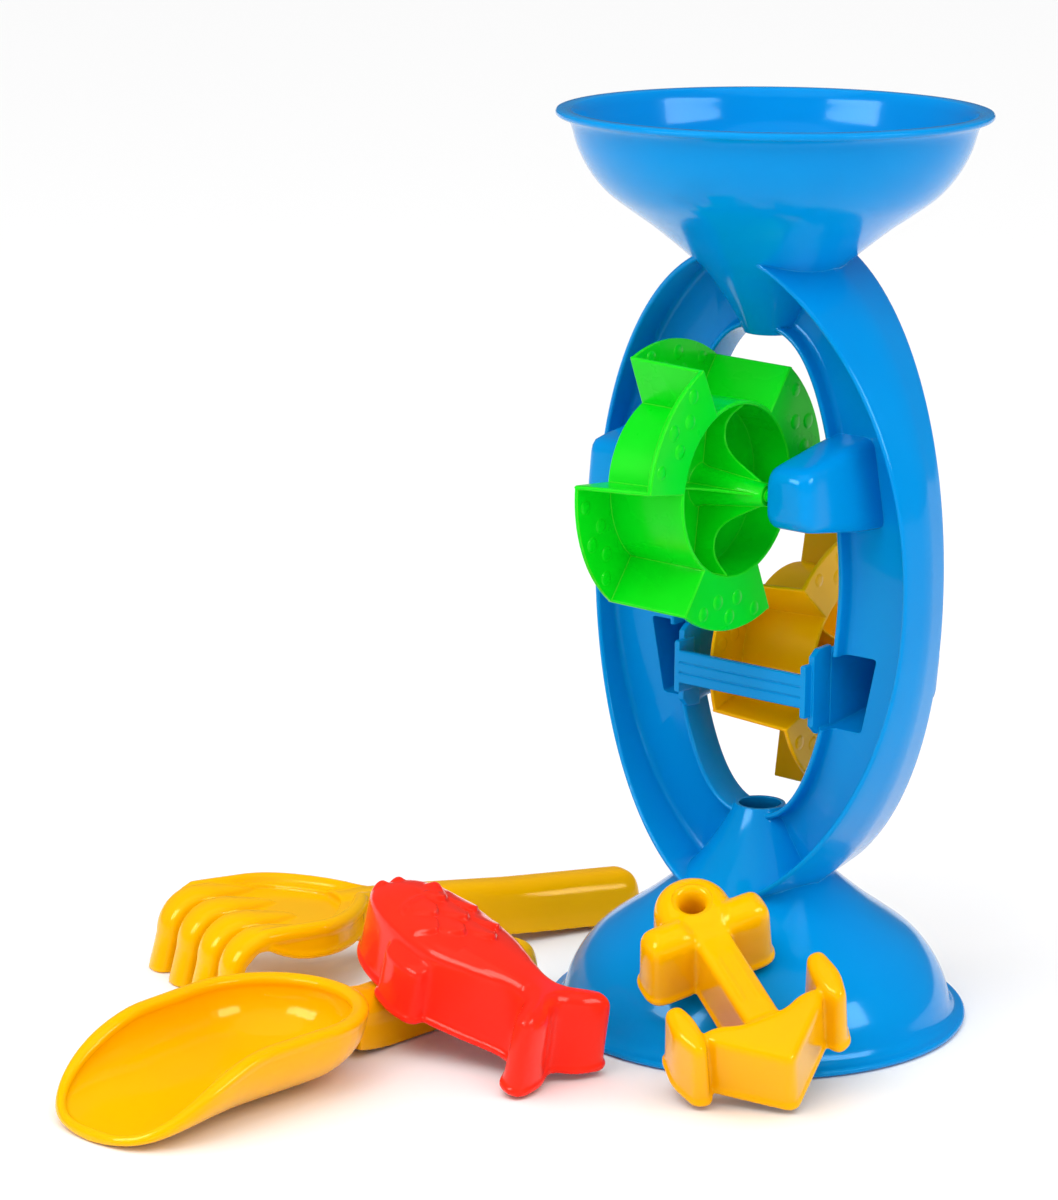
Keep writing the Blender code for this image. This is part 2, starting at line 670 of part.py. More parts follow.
def fish(material, parent):
    """Fish mould; its axis runs from the nose at -X to the tail at +X."""
    other = [(x, -y if x > -90 else -0.8 * y) for x, y in FISH_HALF[-2::-1]]
    outline = smooth_outline(FISH_HALF + other, 3)
    thing = mould_block("fish_mould", outline, FISH_HEIGHT, material, parent)
    cut(thing, hollow_block(outline, FISH_HEIGHT, parent))


def anchor(material, parent):
    """Anchor mould; its axis runs from the ring at -X to the crown at the origin."""
    eye = [(ANCHOR_EYE / MM + ANCHOR_EYE_RADIUS * cos(pi * i / 10),
            ANCHOR_EYE_RADIUS * sin(pi * i / 10)) for i in range(20)]
    other_fluke = [(x, -y) for x, y in ANCHOR_FLUKE[::-1]]
    pieces = [eye, ANCHOR_STOCK, ANCHOR_SHANK, ANCHOR_CROWN, ANCHOR_FLUKE, other_fluke]
    pieces = [[(x * MM, y * MM) for x, y in outline] for outline in pieces]

    def post(radius):
        low, high = -TOOL_CLEAR, ANCHOR_HEIGHT + TOOL_CLEAR
        profile = [(0, low), (radius, low), (radius, high), (0, high)]
        return lathe("post", profile, 16, None, parent,
                     place=lambda p: (p[0] + ANCHOR_EYE, p[1], p[2]))

    thing = mould_block("anchor_mould", pieces[0], ANCHOR_HEIGHT, material, parent)
    space = hollow_block(pieces[0], ANCHOR_HEIGHT, parent)
    for outline in pieces[1:]:
        cut(thing, mould_block("block", outline, ANCHOR_HEIGHT, None, parent), "UNION")
        cut(space, hollow_block(outline, ANCHOR_HEIGHT, parent), "UNION")
    cut(space, post(ANCHOR_HOLE + HOLE_WALL))
    cut(thing, space)
    cut(thing, post(ANCHOR_HOLE))


def build():
    clear_scene()
    blue = plastic("blue plastic", (0.0, 0.28, 0.75))
    green = plastic("green plastic", (0.0, 0.75, 0.02))
    yellow = plastic("yellow plastic", (0.93, 0.5, 0.0))
    red = plastic("red plastic", (1.0, 0.04, 0.02))

    bowl("upper_bowl", False, blue)
    bowl("lower_bowl", True, blue)
    for level, lower in (("upper", False), ("lower", True)):
        for hand, side in (("left", -1), ("right", 1)):
            ring_side(f"ring_{level}_{hand}", side, lower, blue)
            bracket(f"bearing_{level}_{hand}", side, lower, blue)
        bridge(f"bridge_{level}", lower, blue)
    wheel("green", GREEN_PHASE, False, green)
    wheel("yellow", YELLOW_PHASE, True, yellow)
    rake(yellow)
    shovel(yellow)
    fish(red, frame_empty("fish_frame", lying(FISH_PLACE)))
    anchor(yellow, frame_empty("anchor_frame", lying(ANCHOR_PLACE)))
    for thing in bpy.data.objects:
        if thing.parent is None:
            thing.location.x -= SET_CENTRE[0]
            thing.location.y -= SET_CENTRE[1]


build()
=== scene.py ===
"""Looks of the double sand mill and its sand toys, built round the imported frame.

Each moulding gets one continuous skin over its CAD nodes. Lengths are in millimetres,
in the moulding's own frame, until `settle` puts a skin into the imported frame.
"""
import json
from math import cos, hypot, pi, radians, sin

import bmesh
import bpy
import numpy as np
from mathutils import Matrix, Vector

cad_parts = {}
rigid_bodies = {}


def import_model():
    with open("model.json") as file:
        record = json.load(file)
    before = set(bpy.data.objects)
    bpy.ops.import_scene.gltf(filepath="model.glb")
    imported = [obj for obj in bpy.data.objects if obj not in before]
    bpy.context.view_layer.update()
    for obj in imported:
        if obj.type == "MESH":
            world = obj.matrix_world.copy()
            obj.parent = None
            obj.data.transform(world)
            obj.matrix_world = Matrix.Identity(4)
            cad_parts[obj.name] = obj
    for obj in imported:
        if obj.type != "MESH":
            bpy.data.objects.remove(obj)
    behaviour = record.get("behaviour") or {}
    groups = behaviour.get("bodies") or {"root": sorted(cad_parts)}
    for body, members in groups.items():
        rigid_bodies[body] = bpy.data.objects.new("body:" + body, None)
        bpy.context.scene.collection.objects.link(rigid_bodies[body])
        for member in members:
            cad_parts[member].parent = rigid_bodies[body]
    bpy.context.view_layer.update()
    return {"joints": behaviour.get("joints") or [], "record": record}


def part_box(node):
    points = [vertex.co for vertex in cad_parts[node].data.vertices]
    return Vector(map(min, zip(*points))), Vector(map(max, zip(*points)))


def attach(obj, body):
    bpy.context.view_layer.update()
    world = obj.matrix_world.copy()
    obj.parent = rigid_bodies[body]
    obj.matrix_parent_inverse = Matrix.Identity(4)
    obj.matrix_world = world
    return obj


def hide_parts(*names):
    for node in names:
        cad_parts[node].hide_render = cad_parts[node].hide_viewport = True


for thing in list(bpy.data.objects):
    bpy.data.objects.remove(thing, do_unlink=True)
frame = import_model()
BODIES = frame["record"]["behaviour"]["bodies"]
JOINTS = {joint["name"]: joint for joint in frame["joints"]}

# ---- where the mouldings stand -------------------------------------------
bowl_low, bowl_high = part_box("upper_bowl")
MILL = Vector(((bowl_low.x + bowl_high.x) / 2, (bowl_low.y + bowl_high.y) / 2, 0))
HEIGHT = bowl_high.z * 1000
MID = HEIGHT / 2
RAKE_PLACE = ((-111, 60), 249.0)          # grip end from the mill's axis, heading in degrees
SHOVEL_PLACE = ((-87, -40), 267.8)
FISH_PLACE = ((-9.8, -120.0, 4.2), (-9.4, 15.0, 2.2))
ANCHOR_PLACE = ((83.5, -86.5, 1.0), (-22.0, 28.0, 17.5))

# ---- mill body -----------------------------------------------------------
WALL = 2.2
RIM_RADIUS = 83.4
# (depth below the rim, radius) of the bowl and its spout
BOWL = [(0, 79.4), (8, 77.0), (14, 75.2), (20, 72.4), (26, 68.5), (32, 63.0), (38, 55.0),
        (44, 46.4), (50, 38.8), (56, 31.7), (62, 25.2), (70, 19.2), (78, 14.0), (85.6, 10.0)]
SPOUT_BORE = 8.4
RING = (77.3, 134.2, 2.06, 1.71)          # half width, half height and powers of the outline
WINDOW = (40.4, 96.9, 1.59, 2.7)
RING_REACH = 84                           # the ring stops this many degrees above and below level
OUTER_FLANGE = (12.9, 32.0)               # depth at the middle, and what it gains by the ends
INNER_FLANGE = 8.0
FLANGE_DRAFT = 0.13
FILLET = 2.4
AXLE_FORWARD = MILL.y * 1000 - JOINTS["green_wheel_spin"]["pos_m"][1] * 1000
AXLE_HEIGHT = JOINTS["green_wheel_spin"]["pos_m"][2] * 1000
BRIDGE_HEIGHT = MID + 41.0
# corners of the bracket against the distance in front of the web:
# distance, inner x, outer x low and high, depth below the axle, height above it
BRACKET = [(-1.1, 30.8, 57.0, 50.5, 16.5, 18.5), (14, 31.6, 56.8, 51.6, 15.6, 16.6),
           (42.5, 33.4, 54.6, 52.6, 12.0, 12.0), (47.0, 33.6, 54.2, 52.4, 11.6, 11.6)]
BRACKET_CORNER = 4.5
BRACKET_ROUND_OFF = 6.0                   # depth of the rounding at the tip
PIN_HOLE = 2.9
PIN_HOLE_SPAN = (26, 36.5)

# ---- wheels --------------------------------------------------------------
WHEEL_RADIUS = 53.8
HALF_WIDTH = 18.0
DRUM_RADIUS = 34.2
VANE = 1.7
SECTORS = 6
DRAFT = 1.2                               # lean of a radial wall across the width, in degrees
HUB_LAG = 28.5                            # turn of the hub's ribs from the first wall
# pressed ovals of a side plate: radius, share of the way between the walls, size
OVALS = [(49.0, 0.18, 3.3), (43.0, 0.34, 3.4), (48.4, 0.52, 3.5), (41.5, 0.62, 3.4),
         (49.0, 0.84, 3.1)]
DOME = [(0, -1.25), (0.45, -1.18), (0.8, -1.0), (1.0, -0.5), (1.0, 0.5), (0.8, 1.0), (0.45, 1.18),
        (0, 1.25)]                        # (radius, height) of an oval of size 1
# (radius, distance from the middle) along the crest of a hub rib
RIB = [(3.5, 31.3), (8, 22.5), (12, 15.2), (15.5, 11.4), (19.5, 9.6), (24, 9.6), (28, 11.8),
       (31, 15.2), (33.4, 17.6)]

# ---- scoop of the shovel -------------------------------------------------
SCOOP = (108.0, 237.0, 39.5, 28.5)        # start, front lip, half width and height
SCOOP_SIDE = 0.38                         # share of the rim that each side takes
SCOOP_STRAIGHT = 0.28                     # share of a side that is straight, up to SCOOP_BEND
SCOOP_BEND = 190.0
SCOOP_POWER = 0.73                        # fullness of the front corners
SCOOP_TAPER = 0.05
SCOOP_FALL = 176                          # where the rim starts to fall to the lip
SCOOP_LIP_HEIGHT = 2.6


# ---- mesh tools ----------------------------------------------------------
def mesh_object(name, points, faces):
    mesh = bpy.data.meshes.new(name)
    mesh.from_pydata([tuple(p) for p in points], [], faces)
    work = bmesh.new()
    work.from_mesh(mesh)
    bmesh.ops.remove_doubles(work, verts=work.verts, dist=1e-4)
    bmesh.ops.recalc_face_normals(work, faces=work.faces)
    if work.calc_volume(signed=True) < 0:
        bmesh.ops.reverse_faces(work, faces=work.faces)
    work.to_mesh(mesh)
    work.free()
    thing = bpy.data.objects.new(name, mesh)
    bpy.context.scene.collection.objects.link(thing)
    return thing


def loft(loops, closed=False):
    """Closed solid over loops with equal point counts."""
    count, points, faces = len(loops[0]), [p for loop in loops for p in loop], []
    for i in range(len(loops) if closed else len(loops) - 1):
        a, b = i * count, (i + 1) % len(loops) * count
        for j in range(count):
            k = (j + 1) % count
            faces.append((a + j, a + k, b + k, b + j))
    if not closed:
        faces.append(tuple(range(count)))
        faces.append(tuple(range(len(points) - count, len(points))))
    return mesh_object("loft", points, faces)


def lathe(profile, segments, axis="Z", place=None):
    """Turn a closed (radius, height) profile that stays off the axis, or starts and ends on it."""
    loops = []
    for i in range(segments):
        turn = 2 * pi * i / segments
        loop = [(r * cos(turn), r * sin(turn), h) for r, h in profile]
        if axis == "X":
            loop = [(z, x, y) for x, y, z in loop]
        loops.append([place(p) for p in loop] if place else loop)
    if profile[0][0] > 0:
        return loft(loops, closed=True)
    count, points, faces = len(profile), [p for loop in loops for p in loop], []
    for i in range(segments):
        a, b = i * count, (i + 1) % segments * count
        faces += [(a + j, a + j + 1, b + j + 1, b + j) for j in range(1, count - 2)]
    faces.append(tuple(i * count + 1 for i in range(segments)))
    faces.append(tuple(i * count + count - 2 for i in range(segments)))
    return mesh_object("lathe", points, faces)


def bake(thing):
    graph = bpy.context.evaluated_depsgraph_get()
    mesh = bpy.data.meshes.new_from_object(thing.evaluated_get(graph))
    thing.modifiers.clear()
    thing.data = mesh


def combine(thing, other, operation="UNION", overlapping=False):
    modifier = thing.modifiers.new("combine", "BOOLEAN")
    modifier.operation = operation
    modifier.object = other
    modifier.solver = "EXACT"
    modifier.use_self = overlapping
    bake(thing)
    bpy.data.objects.remove(other)
    return thing


def join(things):
    work = bmesh.new()
    for thing in things:
        work.from_mesh(thing.data)
        bpy.data.objects.remove(thing)
    mesh = bpy.data.meshes.new("joined")
    work.to_mesh(mesh)
    work.free()
    thing = bpy.data.objects.new("joined", mesh)
    bpy.context.scene.collection.objects.link(thing)
    return thing


def melt(things, voxel, rounds):
    """One soft skin over solids that overlap, as a moulding has."""
    thing = join(things)
    modifier = thing.modifiers.new("melt", "REMESH")
    modifier.mode = "VOXEL"
    modifier.voxel_size = voxel
    bake(thing)
    relax(thing, rounds)
    return thing


def smooth(thing, steps, factor_of):
    """Move each vertex towards the mean of its neighbours; factor_of(step, points) says how far."""
    mesh = thing.data
    edges = np.zeros(len(mesh.edges) * 2, int)
    mesh.edges.foreach_get("vertices", edges)
    a, b = edges[0::2], edges[1::2]
    points = np.zeros(len(mesh.vertices) * 3)
    mesh.vertices.foreach_get("co", points)
    points = points.reshape(-1, 3)
    degree = np.bincount(edges, minlength=len(points))[:, None]
    start = points
    for step in range(steps):
        total = np.stack([np.bincount(a, points[b, k], len(points))
                          + np.bincount(b, points[a, k], len(points)) for k in range(3)], 1)
        points = points + factor_of(step, start) * (total / degree - points)
    mesh.vertices.foreach_set("co", points.ravel())


def relax(thing, rounds):
    """Taubin smoothing, which rounds edges without shrinking the form."""
    smooth(thing, 2 * rounds, lambda step, start: 0.5 if step % 2 == 0 else -0.47)


def settle(thing, name, body, slot, matrix=None, angle=32):
    """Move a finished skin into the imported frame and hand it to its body."""
    to_frame = Matrix.Translation(MILL) @ Matrix.Scale(0.001, 4) @ (matrix or Matrix.Identity(4))
    thing.data.transform(to_frame)
    thing.data.shade_smooth()
    thing.data.set_sharp_from_angle(angle=radians(angle))
    thing.name = name
    thing.data.name = name
    thing.data.materials.clear()
    thing.data.materials.append(MATERIALS[slot])
    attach(thing, body)
    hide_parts(*BODIES[body])


def curve_through(points, count, closed=False):
    """Catmull-Rom curve through points."""
    ring = [np.array(p, float) for p in points]
    if not closed:
        ring = [2 * ring[0] - ring[1]] + ring + [2 * ring[-1] - ring[-2]]
    spans = len(points) if closed else len(points) - 1
    result = []
    for i in range(spans):
        first = i - 1 if closed else i
        a, b, c, d = (ring[(first + k) % len(ring)] for k in range(4))
        for j in range(count):
            t = j / count
            result.append(0.5 * (2 * b + (c - a) * t + (2 * a - 5 * b + 4 * c - d) * t * t
                                 + (3 * b - a - 3 * c + d) * t ** 3))
    if not closed:
        result.append(ring[-2])
    return result


def rounded(corners, radius, steps=4):
    """Convex outline with its corners rounded, in order, as (u, v) pairs."""
    ring, result = [np.array(c, float) for c in corners], []
    for i, corner in enumerate(ring):
        before, after = ring[i - 1] - corner, ring[(i + 1) % len(ring)] - corner
        reach = min(radius, 0.45 * np.linalg.norm(before), 0.45 * np.linalg.norm(after))
        start = corner + before / np.linalg.norm(before) * reach
        end = corner + after / np.linalg.norm(after) * reach
        for j in range(steps + 1):
            t = j / steps
            result.append((1 - t) ** 2 * start + 2 * t * (1 - t) * corner + t * t * end)
    return result


def tube(path, radii, closed=False, sides=12, flat=1.0):
    """Bead along a path; `flat` squeezes it upwards."""
    loops, count = [], len(path)
    for i, point in enumerate(path):
        ahead = path[(i + 1) % count] if closed or i < count - 1 else point
        behind = path[i - 1] if closed or i > 0 else point
        way = Vector(ahead) - Vector(behind)
        side = way.cross(Vector((0, 0, 1))).normalized()
        top = side.cross(way).normalized()
        r = radii[i]
        loops.append([Vector(point) + side * r * cos(2 * pi * j / sides)
                      + top * r * flat * sin(2 * pi * j / sides) for j in range(sides)])
    return loft(loops, closed)


# ---- materials -----------------------------------------------------------
def moulded(name, colour, deep, highlight_colour, roughness):
    """Glossy moulded plastic: cloudy flow in its colour, faint grain, fine scuffs, soft edges with
    a painted highlight along them.
    """
    material = bpy.data.materials.new(name)
    material.use_nodes = True
    nodes, links = material.node_tree.nodes, material.node_tree.links
    shader = nodes["Principled BSDF"]
    place = nodes.new("ShaderNodeTexCoord")

    def cloud(scale, detail, stretch=(1, 1, 1)):
        mapping = nodes.new("ShaderNodeMapping")
        mapping.inputs["Scale"].default_value = stretch
        links.new(place.outputs["Object"], mapping.inputs["Vector"])
        texture = nodes.new("ShaderNodeTexNoise")
        texture.inputs["Scale"].default_value = scale
        texture.inputs["Detail"].default_value = detail
        links.new(mapping.outputs["Vector"], texture.inputs["Vector"])
        return texture.outputs["Fac"]

    def spread(value, low, high, to_low, to_high):
        ramp = nodes.new("ShaderNodeMapRange")
        for socket, number in zip(("From Min", "From Max", "To Min", "To Max"),
                                  (low, high, to_low, to_high)):
            ramp.inputs[socket].default_value = number
        links.new(value, ramp.inputs["Value"])
        return ramp.outputs["Result"]

    def add(one, two):
        total = nodes.new("ShaderNodeMath")
        total.operation = "ADD"
        links.new(one, total.inputs[0])
        links.new(two, total.inputs[1])
        return total.outputs["Value"]

    mix = nodes.new("ShaderNodeMix")
    mix.data_type = "RGBA"
    mix.inputs[6].default_value = (*colour, 1)
    mix.inputs[7].default_value = (*deep, 1)
    links.new(spread(cloud(14, 3), 0.35, 0.7, 0, 1), mix.inputs[0])
    bevel = nodes.new("ShaderNodeBevel")
    bevel.samples = 6
    bevel.inputs["Radius"].default_value = 0.0007
    face = nodes.new("ShaderNodeNewGeometry")
    flat = nodes.new("ShaderNodeVectorMath")
    flat.operation = "DOT_PRODUCT"
    links.new(bevel.outputs["Normal"], flat.inputs[0])
    links.new(face.outputs["Normal"], flat.inputs[1])
    # Painted highlight: a lighter colour is mixed in where the bevelled normal turns away from the
    # face normal, standing in for light caught on the rounded edges.
    edge_highlight = nodes.new("ShaderNodeMix")
    edge_highlight.data_type = "RGBA"
    edge_highlight.inputs[7].default_value = (*highlight_colour, 1)
    links.new(mix.outputs[2], edge_highlight.inputs[6])
    links.new(spread(flat.outputs["Value"], 0.98, 0.8, 0, 0.55), edge_highlight.inputs[0])
    links.new(edge_highlight.outputs[2], shader.inputs["Base Color"])
    scuffs = spread(cloud(60, 2, (1, 14, 3)), 0.66, 0.78, 0, 1)
    blotches = spread(cloud(30, 4), 0.35, 0.7, roughness, roughness + 0.07)
    links.new(add(blotches, spread(scuffs, 0, 1, 0, 0.07)), shader.inputs["Roughness"])
    bump = nodes.new("ShaderNodeBump")
    bump.inputs["Strength"].default_value = 0.12
    bump.inputs["Distance"].default_value = 0.0004
    relief = add(spread(cloud(55, 2), 0, 1, 0, 1), spread(cloud(900, 2), 0, 1, 0, 0.08))
    links.new(relief, bump.inputs["Height"])
    links.new(bevel.outputs["Normal"], bump.inputs["Normal"])
    links.new(bump.outputs["Normal"], shader.inputs["Normal"])
    shader.inputs["Subsurface Weight"].default_value = 0.06
    shader.inputs["Subsurface Radius"].default_value = [0.4 + c for c in colour]
    shader.inputs["Subsurface Scale"].default_value = 0.003
    shader.inputs["IOR"].default_value = 1.49
    # The same painted highlight colour also tints the reflections.
    shader.inputs["Specular Tint"].default_value = [*(0.12 + 0.88 * c for c in highlight_colour), 1]
    shader.inputs["Specular IOR Level"].default_value = 0.3
    shader.inputs["Coat Weight"].default_value = 0.09
    shader.inputs["Coat Roughness"].default_value = 0.06
    return material


# Per plastic: its colour, a deeper tone for the cloudy flow, the lighter colour painted on edges as
# a highlight, and roughness.
MATERIALS = {
    "blue_plastic": moulded("blue moulded plastic", (0.0, 0.27, 0.68), (0.0, 0.24, 0.63),
                            (0.01, 0.40, 0.84), 0.11),
    "green_plastic": moulded("green moulded plastic", (0.0, 0.72, 0.01), (0.0, 0.62, 0.005),
                             (0.16, 0.86, 0.03), 0.26),
    "yellow_plastic": moulded("yellow moulded plastic", (0.93, 0.47, 0.0), (0.88, 0.42, 0.0),
                              (1.0, 0.60, 0.01), 0.12),
    "red_plastic": moulded("red moulded plastic", (0.97, 0.03, 0.012), (0.90, 0.022, 0.01),
                           (1.0, 0.10, 0.05), 0.11),
}


# ---- mill body -----------------------------------------------------------
def quarter(point, side, lower):
    """Mirror a point of the upper right quarter to another quarter of the mill."""
    x, y, z = point
    return (side * x, -y, HEIGHT - z) if lower else (side * x, y, z)


def bowl(lower):
    outer = curve_through(BOWL, 4)
    inner = [(d, r - WALL) for d, r in outer]
    inner[-1] = (inner[-1][0], SPOUT_BORE)
    lip = [(0, RIM_RADIUS - 1.5), (0.3, RIM_RADIUS - 0.5), (1.0, RIM_RADIUS), (1.9, RIM_RADIUS),
           (2.6, RIM_RADIUS - 0.6), (2.8, RIM_RADIUS - 1.6), (2.9, 80.6), (3.4, 79.4), (4.6, 78.4)]
    start = [p for p in outer if p[0] > 5.5]
    top = [(1.6, inner[0][1] - 0.6), (0.4, inner[0][1] + 0.3), (0, inner[0][1] + 1.5)]
    profile = lip + start + [p for p in inner[::-1] if p[0] > 3] + top
    rows = [(r, d if lower else HEIGHT - d) for d, r in profile]
    return lathe(rows, 144)


def plug(lower, inset):
    """Space inside the bowl's skin, to clear the ring out of it."""
    rows = [(r - inset, HEIGHT - d) for d, r in curve_through(BOWL, 3)]
    rows = [(0, HEIGHT + 5), (rows[0][0], HEIGHT + 5)] + rows
    rows += [(rows[-1][0], rows[-1][1] - 2), (0, rows[-1][1] - 2)]
    return lathe([(r, HEIGHT - z if lower else z) for r, z in rows], 96)


def outline_point(turn, shape):
    half_width, half_height, power_in, power_out = shape
    rise = sin(turn)
    return np.array((half_width * max(1 - abs(rise) ** power_in, 0) ** (1 / power_out),
                     half_height * rise))


def outward(turn, shape):
    way = outline_point(turn + 0.01, shape) - outline_point(turn - 0.01, shape)
    return np.array((way[1], -way[0])) / hypot(*way)


def half_section(deep, lean):
    """Back half of the H section as (outline, offset outwards, y) from the parting line round."""
    r, web, arc = WALL / 2, WALL / 2, [pi * i / 6 for i in range(7)]
    turn = [pi / 2 * i / 3 for i in range(4)]
    points = [("edge", -lean * s, deep * s) for s in (0.3, 0.7)]
    points += [("edge", -lean - r + r * cos(a), deep - r + r * sin(a)) for a in arc]
    points += [("edge", -WALL - FILLET + FILLET * cos(a), web + FILLET - FILLET * sin(a))
               for a in turn]
    points += [("hole", WALL + FILLET - FILLET * sin(a), web + FILLET - FILLET * cos(a))
               for a in turn]
    points += [("hole", r + r * cos(a), INNER_FLANGE - r + r * sin(a)) for a in arc]
    return points


def ring_side(side):
    loops = []
    for i in range(73):
        turn = radians(-RING_REACH + 2 * RING_REACH * i / 72)
        bases = {"edge": outline_point(turn, RING), "hole": outline_point(turn, WINDOW)}
        ways = {"edge": outward(turn, RING), "hole": outward(turn, WINDOW)}
        deep = OUTER_FLANGE[0] + OUTER_FLANGE[1] * (bases["edge"][1] / MID) ** 2
        half = half_section(deep, FLANGE_DRAFT * deep)
        section = [("edge", 0.25, 0)] + half + [(w, o, -y) for w, o, y in half[::-1]]
        loop = []
        for which, offset, y in section:
            x, z = bases[which] + offset * ways[which]
            loop.append((side * x, y, MID + z))
        loops.append(loop)
    return loft(loops)


def bracket_corners(distance, grow=0.0):
    """Corners (x, z) at a distance in front of the web, with the shoulder eased."""
    keys = np.array(BRACKET)
    window = np.linspace(-3.0, 3.0, 7) if distance < 40 else np.zeros(1)
    near, low_x, high_x, low, high = (
        np.mean([np.interp(distance + w, keys[:, 0], keys[:, k]) for w in window])
        for k in range(1, 6))
    low, high = AXLE_HEIGHT - low - grow, AXLE_HEIGHT + high + grow
    return [(near - grow, low), (low_x + grow, low), (high_x + grow, high), (near - grow, high)]


def bracket_loops():
    """Loops from the web to the tip, which is rounded off."""
    tip, depth = BRACKET[-1][0], BRACKET_ROUND_OFF
    distances = [-0.4 + 1.9 * i for i in range(22)]
    loops = [[(x, -y, z) for x, z in rounded(bracket_corners(y), BRACKET_CORNER)]
             for y in distances]
    for i in range(1, 7):
        turn = pi / 2 * i / 6
        y = tip - depth + depth * sin(turn)
        corners = bracket_corners(y, -depth * 0.8 * (1 - cos(turn)))
        near = bracket_corners(y)[0][0] + 2.0 * (1 - cos(turn))
        corners[0], corners[3] = (near, corners[0][1]), (near, corners[3][1])
        loops.append([(x, -y, z) for x, z in rounded(corners, BRACKET_CORNER)])
    return loops


def hollow_loops():
    """Space inside a bracket, open through the web."""
    distances = [-10, -1.1, 6, 12, 16, 24, 38.5]
    return [[(x, -y, z) for x, z in rounded(bracket_corners(max(y, -1.1), -WALL), 1.5, 2)]
            for y in distances]


def bridge_parts(lower):
    """Bar with two fine grooves, and the posts that carry it from the bracket roots."""
    front, back, half, mid = 15.7, 13.6, 6.6, BRIDGE_HEIGHT
    face = [(back, -half), (front - 0.5, -half), (front, -half + 0.5)]
    for z in (-1.9, 2.3):
        face += [(front, z - 0.5), (front - 0.45, z - 0.2), (front - 0.45, z + 0.2),
                 (front, z + 0.5)]
    face += [(front, half - 0.5), (front - 0.5, half), (back, half)]
    parts = [loft([[quarter((x, y, mid + z), 1, lower) for y, z in face] for x in (-31, 31)])]
    # inner x, outer x, then (distance behind the web, depth, height) of each loop
    posts = [(29.5, 31.8, [(6.0, 10.6, 10.6), (15.2, 10.5, 10.5), (15.7, 10.2, 10.2)]),
             (30.4, 32.9, [(0.5, 16.6, 18.4), (8.2, 16.2, 17.6), (11.5, 13.8, 14.4)])]
    for side in (-1, 1):
        for near, far, steps in posts:
            loops = []
            for y, low, high in steps:
                low, high = mid - low, mid + high
                corners = rounded([(near, low), (far, low), (far, high), (near, high)], 0.6, 3)
                loops.append([quarter((x, y, z), side, lower) for x, z in corners])
            parts.append(loft(loops))
    return parts


def mill():
    ring = join([ring_side(-1), ring_side(1)])
    for lower in (False, True):
        combine(ring, plug(lower, 1.3), "DIFFERENCE")
    parts, hollows = [bowl(False)], []
    for lower in (False, True):
        parts += bridge_parts(lower)
        for side in (-1, 1):
            parts.append(loft([[quarter(p, side, lower) for p in loop]
                               for loop in bracket_loops()]))
            hollows.append(loft([[quarter(p, side, lower) for p in loop]
                                 for loop in hollow_loops()]))
            near, far = PIN_HOLE_SPAN
            hollows.append(lathe([(0, near), (PIN_HOLE, near), (PIN_HOLE, far), (0, far)], 32, "X",
                                 lambda p: quarter((p[0], p[1] - AXLE_FORWARD, p[2] + AXLE_HEIGHT),
                                                   side, lower)))
    parts.append(bowl(True))
    combine(ring, join(parts), overlapping=True)
    combine(ring, join(hollows), "DIFFERENCE", overlapping=True)
    settle(ring, "mill_body", "frame", "blue_plastic")


# ---- wheels --------------------------------------------------------------
def around(x, radius, degrees):
    return (x, radius * cos(radians(degrees)), radius * sin(radians(degrees)))


def lean(index, x):
    """Angle that a radial wall leans by at x; its bucket is wider at the open side."""
    return DRAFT * (1 if index % 2 else -1) * x / HALF_WIDTH


def wall(index, phase):
    loops = []
    for x in (-HALF_WIDTH, -HALF_WIDTH + 0.5, 0, HALF_WIDTH - 0.5, HALF_WIDTH):
        turn = phase + 60 * index + lean(index, x)
        half = VANE / 2 - (0.35 if abs(x) == HALF_WIDTH else 0)
        loop = []
        for radius, share in ((DRUM_RADIUS - 1, 1), (WHEEL_RADIUS - 0.5, 1), (WHEEL_RADIUS, 0.5)):
            loop.append((radius, share * half))
        loop += [(r, -h) for r, h in loop[::-1]]
        _, out_y, out_z = around(0, 1, turn)
        loops.append([(x, r * out_y - h * out_z, r * out_z + h * out_y) for r, h in loop])
    return loft(loops)


def plate(index, phase):
    """Side plate of the bucket between two walls, with its pressed ovals."""
    side = 1 if index % 2 else -1
    end = side * HALF_WIDTH
    first = phase + 60 * index + lean(index, end)
    last = phase + 60 * (index + 1) + lean(index + 1, end)
    turns = np.linspace(first, last, 22)
    loops = []
    for x, trim in ((end, 0.35), (end - side * 0.4, 0), (end - side * VANE, 0)):
        loops.append([around(x, WHEEL_RADIUS - trim, t) for t in turns]
                     + [around(x, DRUM_RADIUS - 1, t) for t in turns[::-1]])
    things = [loft(loops)]
    middle = end - side * VANE / 2
    for radius, share, size in OVALS:
        turn = first + (last - first) * (share if side > 0 else 1 - share)
        _, y, z = around(0, radius, turn)
        things.append(lathe(DOME, 20, "X",
                            lambda p: (middle + p[0], y + size * p[1], z + size * p[2])))
    return things


def hub(end, phase):
    profile = [(0, 0.3), (9.0, 0.3), (7.8, 2.2), (7.2, 4.5), (4.4, 31.2), (4.0, 31.8),
               (2.35, 31.8), (2.35, 35.4), (1.9, 36.0), (0, 36.0)]
    things = [lathe([(r, end * x) for r, x in profile], 40, "X")]
    crest = [(float(r), float(x)) for r, x in curve_through(RIB, 4)]
    for i in range(4):
        turn = phase + 90 * i
        loops = []
        for r, x in crest:
            _, out_y, out_z = around(0, 1, turn)
            foot, top = 0.8, 0.55
            section = [(0.3, -foot), (x - 0.5, -top), (x, -top * 0.4), (x, top * 0.4),
                       (x - 0.5, top), (0.3, foot)]
            loops.append([(end * h, r * out_y - w * out_z, r * out_z + w * out_y)
                          for h, w in section])
        things.append(loft(loops))
    return things


